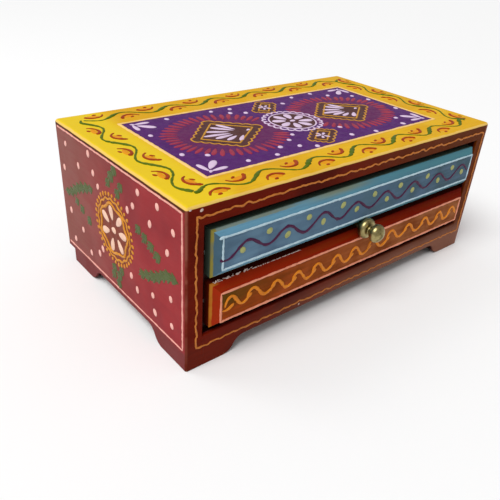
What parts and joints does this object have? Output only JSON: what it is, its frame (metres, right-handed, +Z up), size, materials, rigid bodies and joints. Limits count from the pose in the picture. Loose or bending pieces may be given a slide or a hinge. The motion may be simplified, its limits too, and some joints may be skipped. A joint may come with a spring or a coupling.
{
  "type": "trinket box with drawer",
  "caption": "Low wooden trinket box on bracket feet, hand-painted all over with raised flowers, with one drawer whose bevelled front looks like two and a turned brass knob.",
  "frame": {"origin": "on the ground, under the centre of the overall box, knob included", "axes": "+Z up, -Y out of the drawer front, +X to the right of someone who faces the drawer"},
  "size_m": [0.254, 0.1652, 0.098],
  "materials": {
    "painted_top": "satin painted",
    "painted_side": "satin painted",
    "painted_frame": "satin painted",
    "painted_gap": "satin painted",
    "painted_blue": "satin painted",
    "painted_orange": "satin painted",
    "raw_wood": "bare, planed",
    "velvet": "short pile",
    "brass": "turned, a little tarnished",
    "steel": "plain wire"
  },
  "bodies": {
    "case": {"top_board": "painted_top", "left_side_board": "painted_side", "right_side_board": "painted_side", "back_board": "painted_side", "floor_board": "raw_wood", "front_apron": "painted_frame", "top_nails": "steel", "side_nails": "steel", "back_nails": "steel"},
    "drawer": {"drawer_front": "painted_gap", "upper_front_panel": "painted_blue", "lower_front_panel": "painted_orange", "drawer_left_side": "raw_wood", "drawer_right_side": "raw_wood", "drawer_back": "raw_wood", "drawer_bottom": "raw_wood", "drawer_liner": "velvet", "drawer_front_nails": "steel", "drawer_back_nails": "steel", "drawer_bottom_nails": "steel", "knob": "brass", "knob_screw": "steel", "knob_washer": "steel"}
  },
  "joints": [
    {"name": "drawer_slide", "type": "slide", "parent": "case", "child": "drawer", "axis": [0, -1, 0], "range_m": [0, 0.11]}
  ]
}
